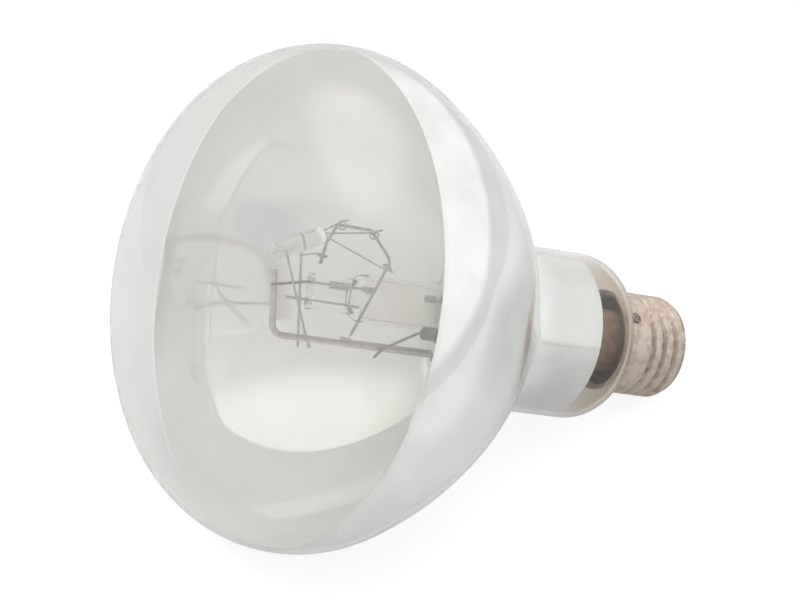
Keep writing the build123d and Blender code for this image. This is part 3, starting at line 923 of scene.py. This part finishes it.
@dataclass
class ScrewCap:
    """The screw cap: rolled shell, dark glass, contact, solder and cement."""

    crest_radius: float = 13.1
    root_radius: float = 12.15
    sheet: float = 0.3
    rim: float = 24.5
    skirt: float = 19.3
    skirt_blend: float = 0.95
    toe_corner: float = 5.0
    toe: float = 4.5
    mouth_radius: float = 9.8
    thread_foot: float = 6.6
    crest_half: float = 0.85
    base_half: float = 1.6
    thread_start: float = 205.0
    thread_pitch: float = 3.629
    thread_runout: float = 1.6
    thread_entry: float = 0.2
    contact_height: float = 2.2
    contact_radius: float = 5.6
    contact_sheet: float = 0.8
    contact_eye: float = 1.0
    contact_edge: float = 0.3
    glass_fit: float = 0.15
    glass_flange: float = 2.0
    solder_radius: float = 3.6
    spot_radius: float = 1.5
    spot_height: float = 0.5
    spot_drop: float = 2.6
    spot_dimple: float = 0.8
    dimple_spread: float = 0.3
    spot_angle: float = -58.7
    weld_gap: float = 0.05
    seal_radius: float = 11.4
    seal_bend: float = 2.5
    seal_bend_height: float = 22.41
    cement_foot: float = 19.65
    cement_bed: float = 15.45
    bed_thickness: float = 1.2
    stem_radius: float = 8.0
    steps: int = 144

    def thread_lift(self, angle: float, height: float) -> float:
        """Give how far the rolled thread stands up from its root.

        Args:
            angle: Turn round the axis, in radians.
            height: Place on the axis.

        Returns:
            The lift, from 0 at the root to the depth of the thread.
        """
        turns = (height - self.thread_foot) / self.thread_pitch
        turns -= (math.degrees(angle) - self.thread_start) / 360.0
        off_crest = abs(turns - round(turns)) * self.thread_pitch
        fall = min(1.0, max(0.0, (off_crest - self.crest_half) / (self.base_half - self.crest_half)))
        rolled = 1.0 - fall * fall * (3.0 - 2.0 * fall)
        entry = min(1.0, max(0.0, (height - self.toe_corner - self.thread_entry) / self.thread_runout))
        return (self.crest_radius - self.root_radius) * rolled * entry

    def build_shell(self) -> None:
        """Turn the shell's wall and roll the thread into it."""
        pen = ProfilePen(self.crest_radius, self.rim)
        pen.line(self.crest_radius, self.skirt, 6)
        pen.line(self.root_radius, self.skirt - self.skirt_blend, 5)
        pen.line(self.root_radius, self.toe_corner, 72)
        pen.line(self.mouth_radius, self.toe, 4)
        bm = pen.revolve(self.steps)
        for vert in bm.verts:
            if self.toe_corner < vert.co.z < self.skirt:
                flat = Vector((vert.co.x, vert.co.y, 0.0))
                lift = self.thread_lift(math.atan2(flat.y, flat.x), vert.co.z)
                room = self.crest_radius - flat.length
                vert.co += flat.normalized() * min(lift, room)
        bmesh.ops.solidify(bm, geom=bm.faces[:], thickness=self.sheet)
        Bench.lay("rolled_shell", bm, CAP_PLATE, "screw_shell")

    def build_insulator(self) -> None:
        """Turn the dark glass that closes the toe, with a soft edge."""
        bore = self.mouth_radius - self.sheet - self.glass_fit
        flange = self.toe_corner + self.sheet
        outer = self.root_radius - self.sheet - self.glass_fit
        pen = ProfilePen(self.contact_eye, self.contact_height)
        pen.line(self.contact_radius, self.contact_height, 2)
        pen.line(bore, self.toe, 8)
        pen.line(bore, flange, 2)
        pen.line(outer, flange, 2)
        pen.line(outer, flange + self.glass_flange, 2)
        pen.line(self.contact_eye, flange + self.glass_flange, 4)
        pen.line(self.contact_eye, self.contact_height, 4)
        Bench.lay("dark_glass", pen.revolve(96), DARK_GLASS, "cap_insulator")

    def build_contact(self) -> None:
        """Turn the brass plate, with a round edge and an eye."""
        low = self.contact_height - self.contact_sheet
        pen = ProfilePen(self.contact_eye, low)
        edge = self.contact_radius - self.contact_edge
        pen.line(edge, low, 4)
        pen.arc(edge, low + self.contact_edge, 90.0, 5)
        pen.line(self.contact_radius, self.contact_height, 1)
        pen.line(self.contact_eye, self.contact_height, 4)
        pen.line(self.contact_eye, low, 1)
        Bench.lay("contact_disc", pen.revolve(96), BRASS, "contact_plate")

    def build_solder(self) -> None:
        """Turn the solder button and set the spot on the skirt."""
        height = self.contact_height - self.contact_sheet
        radius = (self.solder_radius**2 + height**2) / (2.0 * height)
        half = math.degrees(math.asin(self.solder_radius / radius))
        pen = ProfilePen(0.0, 0.0)
        pen.arc(0.0, radius, half, 14)
        pen.line(0.0, height, 4)
        Bench.lay("solder_button", pen.revolve(64), SOLDER, "contact_solder")
        spot = bmesh.new()
        bmesh.ops.create_uvsphere(spot, u_segments=32, v_segments=24, radius=1.0)
        bmesh.ops.bisect_plane(
            spot,
            geom=spot.verts[:] + spot.edges[:] + spot.faces[:],
            plane_co=(0.0, 0.0, 0.0),
            plane_no=(0.0, 0.0, 1.0),
            clear_inner=True,
        )
        bmesh.ops.holes_fill(spot, edges=[edge for edge in spot.edges if edge.is_boundary])
        for vert in spot.verts:
            if vert.co.z > 0.0:
                sunk = max(0.0, 1.0 - vert.co.xy.length_squared / self.dimple_spread)
                vert.co.z *= 1.0 - self.spot_dimple * sunk
        bmesh.ops.scale(spot, vec=(self.spot_radius, self.spot_radius, self.spot_height), verts=spot.verts[:])
        turned = Matrix.Rotation(math.radians(self.spot_angle), 4, "Z")
        out = Matrix.Translation((self.crest_radius + self.weld_gap, 0.0, self.rim - self.spot_drop))
        laid = Matrix.Rotation(math.pi / 2.0, 4, "Y")
        Bench.lay("side_solder_spot", spot, OLD_SOLDER, "side_solder", PLACE @ turned @ out @ laid)

    def build_cement(self) -> None:
        """Turn the cement that fills the skirt up to its rim, with its bed under the stem's flare."""
        outer = self.crest_radius - self.sheet - self.weld_gap
        bore = self.root_radius - self.sheet - self.weld_gap
        inner = self.seal_radius + self.weld_gap
        lip = self.seal_bend - self.weld_gap
        bend_r = self.seal_radius + self.seal_bend
        lip_turn = math.degrees(math.acos((bend_r - outer + self.weld_gap) / lip))
        pen = ProfilePen(inner, self.seal_bend_height)
        pen.arc(bend_r, self.seal_bend_height, -lip_turn, 10)
        pen.line(outer, pen.tip.co.z)
        pen.line(outer, self.cement_foot, 8)
        pen.line(bore, self.cement_foot, 2)
        pen.line(bore, self.cement_bed - self.bed_thickness, 4)
        pen.line(self.stem_radius, self.cement_bed - self.bed_thickness, 4)
        pen.line(self.stem_radius, self.cement_bed, 2)
        pen.line(inner, self.cement_bed, 4)
        pen.line(inner, self.seal_bend_height, 6)
        Bench.lay("cement_fill", pen.revolve(96), CEMENT, "cap_cement")

    def build(self) -> None:
        """Build the cap."""
        self.build_shell()
        self.build_insulator()
        self.build_contact()
        self.build_solder()
        self.build_cement()


@dataclass
class Stem:
    """The pressed glass stem, its exhaust tube and the leads down to the cap."""

    pieces: Pieces = (
        ("pressed_stem", STEM_GLASS, "stem"),
        ("sealed_exhaust", STEM_GLASS, "exhaust_tube"),
        ("contact_wire", NICKEL, "contact_lead"),
        ("shell_wire", NICKEL, "shell_lead"),
    )

    def build(self) -> None:
        """Lay the stem's pieces."""
        Bench.smooth_nodes(self.pieces)


@dataclass
class Burner:
    """The quartz burner with its seals, electrodes and mercury."""

    main_x: float = 4.1
    shank: float = 0.35
    head_radius: float = 0.95
    head_length: float = 4.0
    front_head: float = 100.4
    front_foil: float = 105.0
    rear_head: float = 77.2
    rear_foil: float = 72.6
    head_wire: float = 0.26
    winding_start: float = 0.3
    winding_end: float = 0.4
    winding_rise: float = 2.1
    seals: Pieces = (
        ("quartz_burner", QUARTZ, "burner_tube"),
        ("front_seal_foil", FOIL, "front_foil"),
        ("rear_seal_foil", FOIL, "rear_foil"),
    )
    fill: Pieces = (
        ("starter_pin", TUNGSTEN, "starter_electrode"),
        ("mercury_bead", MERCURY, "mercury_drop"),
    )

    def build_electrode(self, end: str, foil: float, head: float, way: float) -> None:
        """Wind an electrode.

        Args:
            end: The burner's end that it is in, front or rear.
            foil: Height where its shank leaves the foil.
            head: Height where its wound head starts.
            way: 1 towards the face, -1 towards the cap.
        """
        bm = bmesh.new()
        tip = head + way * self.head_length
        shank = WirePath([Vector((self.main_x, 0.0, z)) for z in (foil, head, tip)])
        shank.draw(bm, self.shank)
        ends = (head + way * self.winding_start, tip - way * self.winding_end)
        winding = WirePath([Vector((self.main_x, 0.0, z)) for z in ends])
        coil = winding.coiled(self.head_radius - self.head_wire, self.winding_rise * self.head_wire, 14)
        coil.draw(bm, self.head_wire, 8)
        Bench.lay(f"{end}_wound_electrode", bm, TUNGSTEN, f"{end}_electrode")

    def build(self) -> None:
        """Lay the burner's pieces."""
        Bench.smooth_nodes(self.seals)
        self.build_electrode("front", self.front_foil, self.front_head, -1.0)
        self.build_electrode("rear", self.rear_foil, self.rear_head, 1.0)
        Bench.smooth_nodes(self.fill)


@dataclass
class Filament:
    """The ballast filament, its hooked supports, the bead and the wires that carry them."""

    height: float = 103.5
    start_x: float = -7.5
    start_y: float = -1.9
    burner_offset: float = 1.9
    pass_radius: float = 6.7
    first_run: float = 23.2
    ring_offset: float = 9.2
    ring_side: float = 3.2
    ring_radius: float = 12.15
    ring_angles: tuple[float, ...] = (-38.7, 35.5, 65.4, 91.4)
    bend: float = 1.2
    coil_radius: float = 0.42
    coil_wire: float = 0.13
    coil_pitch: float = 0.4
    bead_offset: float = 13.1
    bead_height: float = 121.1
    bead_length: float = 13.4
    bead_tilt: float = 25.0
    support_wire: float = 0.22
    support_root: float = 1.1
    hook_clearance: float = 0.43
    loop_setback: float = 2.0
    loop_rise: float = 2.4
    loop_steps: int = 24
    tail: float = 2.2
    stay_root: Vector = field(default_factory=lambda: Vector((10.2, 3.2, 118.0)))
    bead_held: dict[str, int] = field(
        default_factory=lambda: {"near_support": 1, "upper_support": 2, "far_support": 3}
    )
    stay_held: dict[str, int] = field(default_factory=lambda: {"end_support": 5})
    pieces: Pieces = (
        ("glass_bead", BEAD_GLASS, "support_bead"),
        ("bent_rod", NICKEL, "burner_frame"),
        ("front_lead_wire", DARK_WIRE, "front_lead"),
        ("rear_lead_wire", NICKEL, "rear_lead"),
        ("filament_lead_wire", NICKEL, "filament_lead"),
        ("front_stay_wire", STAY_WIRE, "front_stay"),
        ("rear_stay_wire", STAY_WIRE, "rear_stay"),
    )

    def corners(self) -> list[Vector]:
        """Give the filament's ends and corners."""
        start = Vector((self.start_x, self.start_y, self.height))
        way = Vector((self.burner_offset, 0.0, self.height)) - start
        angle = math.atan2(way.y, way.x) - math.asin(self.pass_radius / way.length)
        first = start + Vector((math.cos(angle), math.sin(angle), 0.0)) * self.first_run
        middle = Vector((self.ring_offset, self.ring_side, self.height))
        spoke = Vector((self.ring_radius, 0.0, 0.0))
        ring = [middle + Matrix.Rotation(math.radians(turn), 3, "Z") @ spoke for turn in self.ring_angles]
        return [start, first, *ring]

    def build_coil(self) -> None:
        """Wind the filament along its corners."""
        bm = bmesh.new()
        middle = WirePath.bent(self.corners(), self.bend)
        middle.coiled(self.coil_radius - self.coil_wire, self.coil_pitch, 10).draw(bm, self.coil_wire, 6)
        Bench.lay("wound_filament", bm, TUNGSTEN, "ballast_filament")

    def loop_radius(self) -> float:
        """Give the radius of a support's loop."""
        return self.coil_radius + self.hook_clearance + self.support_wire

    def loop_middle(self, corner: int) -> Vector:
        """Give the middle of the loop just before one of the filament's corners."""
        corners = self.corners()
        run = (corners[corner] - corners[corner - 1]).normalized()
        return corners[corner] - run * self.loop_setback * self.loop_radius()

    def bead_root(self, corner: int) -> Vector:
        """Give the place on the bead's rear end where the support of a corner leaves it."""
        turn = math.radians(self.bead_tilt)
        way = Vector((-math.sin(turn), 0.0, math.cos(turn)))
        rear = Vector((self.bead_offset, 0.0, self.bead_height))
        rear -= way * (self.bead_length / 2.0 + self.support_wire)
        level = self.loop_middle(corner) - rear
        level.z = 0.0
        return rear + (level - way * level.dot(way)).normalized() * self.support_root

    def build_support(self, node: str, root: Vector, corner: int) -> None:
        """Bend a support with a pigtail round the filament.

        Args:
            node: The node that it replaces.
            root: Where it starts.
            corner: The filament's corner that it holds.
        """
        corners = self.corners()
        run = (corners[corner] - corners[corner - 1]).normalized()
        loop = self.loop_radius()
        middle = self.loop_middle(corner)
        ahead = middle - root
        ahead = (ahead - run * ahead.dot(run)).normalized()
        side = ahead.cross(run)
        rise = run * self.loop_rise * self.support_wire
        turn = [
            middle - rise / 2.0 + rise * share
            + (side * math.cos(FULL_TURN * share) + ahead * math.sin(FULL_TURN * share)) * loop
            for share in (step / self.loop_steps for step in range(self.loop_steps + 1))
        ]
        bm = bmesh.new()
        WirePath([root, *turn, turn[-1] + ahead * self.tail]).draw(bm, self.support_wire, 8)
        Bench.lay(f"{node}_pigtail", bm, TUNGSTEN, node)

    def build(self) -> None:
        """Build the filament and what carries it."""
        self.build_coil()
        for node, corner in self.bead_held.items():
            self.build_support(node, self.bead_root(corner), corner)
        for node, corner in self.stay_held.items():
            self.build_support(node, self.stay_root, corner)
        Bench.smooth_nodes(self.pieces)


@dataclass
class StartResistor:
    """The starting resistor and its two leads."""

    pieces: Pieces = (
        ("resistor", RESISTOR, "start_resistor"),
        ("resistor_front_wire", DARK_WIRE, "resistor_front_lead"),
        ("resistor_rear_wire", NICKEL, "resistor_rear_lead"),
    )

    def build(self) -> None:
        """Lay the resistor's pieces."""
        Bench.smooth_nodes(self.pieces)


@dataclass(frozen=True)
class RoomPatch:
    """A soft-edged round part of the room, as the lamp's mirror sees it."""

    azimuth: float
    elevation: float
    inner: float
    outer: float
    colour: Colour


@dataclass
class Studio:
    """A pale round table, a soft white room, one wide lamp overhead and the camera."""

    azimuth: float = -27.4
    elevation: float = 35.3
    lens: float = 180.0
    sensor: float = 36.0
    distance: float = 973.0
    aim_right: float = 26.39
    aim_up: float = -0.9
    table_radius: float = 0.27
    table_gap: float = 0.0002
    table_roughness: float = 0.9
    table_colour: float = 0.28
    table_lift: float = 0.84
    # The table's glow as mirrors and glass see it: lower near shade_place, a painted shadow of the lamp, and
    # higher away from it.
    mirrored_glow_shadowed_to_clear: tuple[float, float] = (0.32, 0.49)
    painted_shadow_fade: tuple[float, float] = (0.03, 0.12)
    shade_place: tuple[float, float, float] = (0.12, -0.01, 0.0)
    room_level: float = 0.9
    room_colour: Colour = (0.70, 0.70, 0.69)
    patches: tuple[RoomPatch, ...] = (
        RoomPatch(80.0, 20.0, 50.0, 80.0, (1.04, 1.04, 1.03)),
        RoomPatch(180.0, 72.0, 20.0, 40.0, (1.85, 1.79, 1.69)),
        RoomPatch(0.0, -90.0, 80.0, 88.0, (0.74, 0.75, 0.74)),
        RoomPatch(-25.0, 5.0, 7.0, 15.0, (0.36, 0.40, 0.46)),
    )
    lamp_height: float = 1.0
    lamp_size: float = 1.2
    lamp_watts: float = 5.4
    lamp_colour: Colour = (1.0, 0.97, 0.93)
    bounces: dict[str, int] = field(
        default_factory=lambda: {
            "max_bounces": 24,
            "transmission_bounces": 20,
            "glossy_bounces": 8,
            "transparent_max_bounces": 16,
        }
    )

    def build_floor(self) -> None:
        """Lay the table, white to the eye and still taking the lamp's shadow; to mirrors and glass it glows,
        with a painted shadow of the lamp dimming that glow round shade_place.
        """
        bm = bmesh.new()
        bmesh.ops.create_circle(bm, cap_ends=True, segments=96, radius=self.table_radius)
        bmesh.ops.translate(bm, vec=(0.0, 0.0, -self.table_gap), verts=bm.verts[:])
        mesh = bpy.data.meshes.new("table")
        bm.to_mesh(mesh)
        bm.free()
        recipe = Recipe("pale_table")
        recipe.keep(Base_Color=(self.table_colour,) * 3 + (1.0,), Emission_Color=(1.0, 1.0, 1.0, 1.0))
        recipe.keep(Roughness=self.table_roughness, Specular_IOR_Level=0.0)
        eye, mirrored = recipe.rays()
        points = recipe.add("TexCoord")
        reach = recipe.add("VectorMath", {1: self.shade_place}, operation="DISTANCE")
        recipe.join(points.outputs["Object"], reach.inputs[0])
        # Painted shadow: the glow that mirrors and glass see is dimmed round shade_place, where the lamp's
        # own shadow lies.
        glow_with_painted_shadow = recipe.span(reach.outputs["Value"], self.painted_shadow_fade, self.mirrored_glow_shadowed_to_clear)
        faint = recipe.combine("MULTIPLY", mirrored, glow_with_painted_shadow)
        plain = recipe.span(eye, (0.0, 1.0), (0.0, self.table_lift))
        recipe.feed("Emission Strength", recipe.combine("MAXIMUM", faint, plain))
        mesh.materials.append(recipe.material)
        table = bpy.data.objects.new("table", mesh)
        bpy.context.collection.objects.link(table)

    def build_room(self) -> None:
        """Light the room: white to the eye, with its walls and ceiling only where they are mirrored."""
        world = bpy.data.worlds.new("soft_white_room")
        bpy.context.scene.world = world
        world.use_nodes = True
        board = NodeBoard(world.node_tree)
        points = board.add("TexCoord").outputs["Generated"]
        walls: Colour | Socket = self.room_colour
        for patch in self.patches:
            way = direction(patch.azimuth, patch.elevation)
            facing = board.add("VectorMath", {1: way}, operation="DOT_PRODUCT")
            board.join(points, facing.inputs[0])
            edge = (math.cos(math.radians(patch.outer)), math.cos(math.radians(patch.inner)))
            walls = board.mix(board.span(facing.outputs["Value"], edge, (0.0, 1.0)), walls, patch.colour)
        eye, mirrored = board.rays()
        plain = board.mix(mirrored, (self.room_level,) * 3, walls)
        shown = board.mix(eye, plain, (1.0, 1.0, 1.0))
        board.join(shown, world.node_tree.nodes["Background"].inputs["Color"])

    def build_lamps(self) -> None:
        """Hang the wide soft lamp over the table."""
        lamp = bpy.data.lights.new("overhead_softbox", "AREA")
        lamp.shape = "DISK"
        lamp.size = self.lamp_size
        lamp.energy = self.lamp_watts
        lamp.color = self.lamp_colour
        holder = bpy.data.objects.new("overhead_softbox", lamp)
        holder.matrix_world = Matrix.Translation((0.0, 0.0, self.lamp_height))
        holder.visible_glossy = False
        holder.visible_transmission = False
        bpy.context.collection.objects.link(holder)

    def build_camera(self, rim: Vector) -> None:
        """Set the camera.

        Args:
            rim: The middle of the mirror's rim, in the scene.
        """
        turn = math.radians(self.azimuth)
        back = direction(self.azimuth, self.elevation)
        right = Vector((math.cos(turn), math.sin(turn), 0.0))
        up = back.cross(right)
        aim = rim + (right * self.aim_right + up * self.aim_up) * MM
        camera = bpy.data.cameras.new("camera")
        camera.lens = self.lens
        camera.sensor_width = self.sensor
        holder = bpy.data.objects.new("camera", camera)
        turned = Matrix((right, up, back)).transposed().to_4x4()
        holder.matrix_world = Matrix.Translation(aim + back * self.distance * MM) @ turned
        bpy.context.collection.objects.link(holder)
        bpy.context.scene.camera = holder

    def build(self, rim: Vector) -> None:
        """Build the studio round the lamp.

        Args:
            rim: The middle of the mirror's rim, in the scene.
        """
        self.build_floor()
        self.build_room()
        self.build_lamps()
        self.build_camera(rim)
        scene = bpy.context.scene
        scene.view_settings.view_transform = "Standard"
        for kind, count in self.bounces.items():
            setattr(scene.cycles, kind, count)


def main() -> None:
    """Build the lamp and its studio."""
    logging.basicConfig(level=logging.INFO, format="%(name)s: %(message)s")
    envelope = GlassEnvelope()
    envelope.build()
    ScrewCap().build()
    Stem().build()
    Burner().build()
    Filament().build()
    StartResistor().build()
    Studio().build(PLACE @ Vector((0.0, 0.0, envelope.rim_station)))


if __name__ == "__main__":
    main()
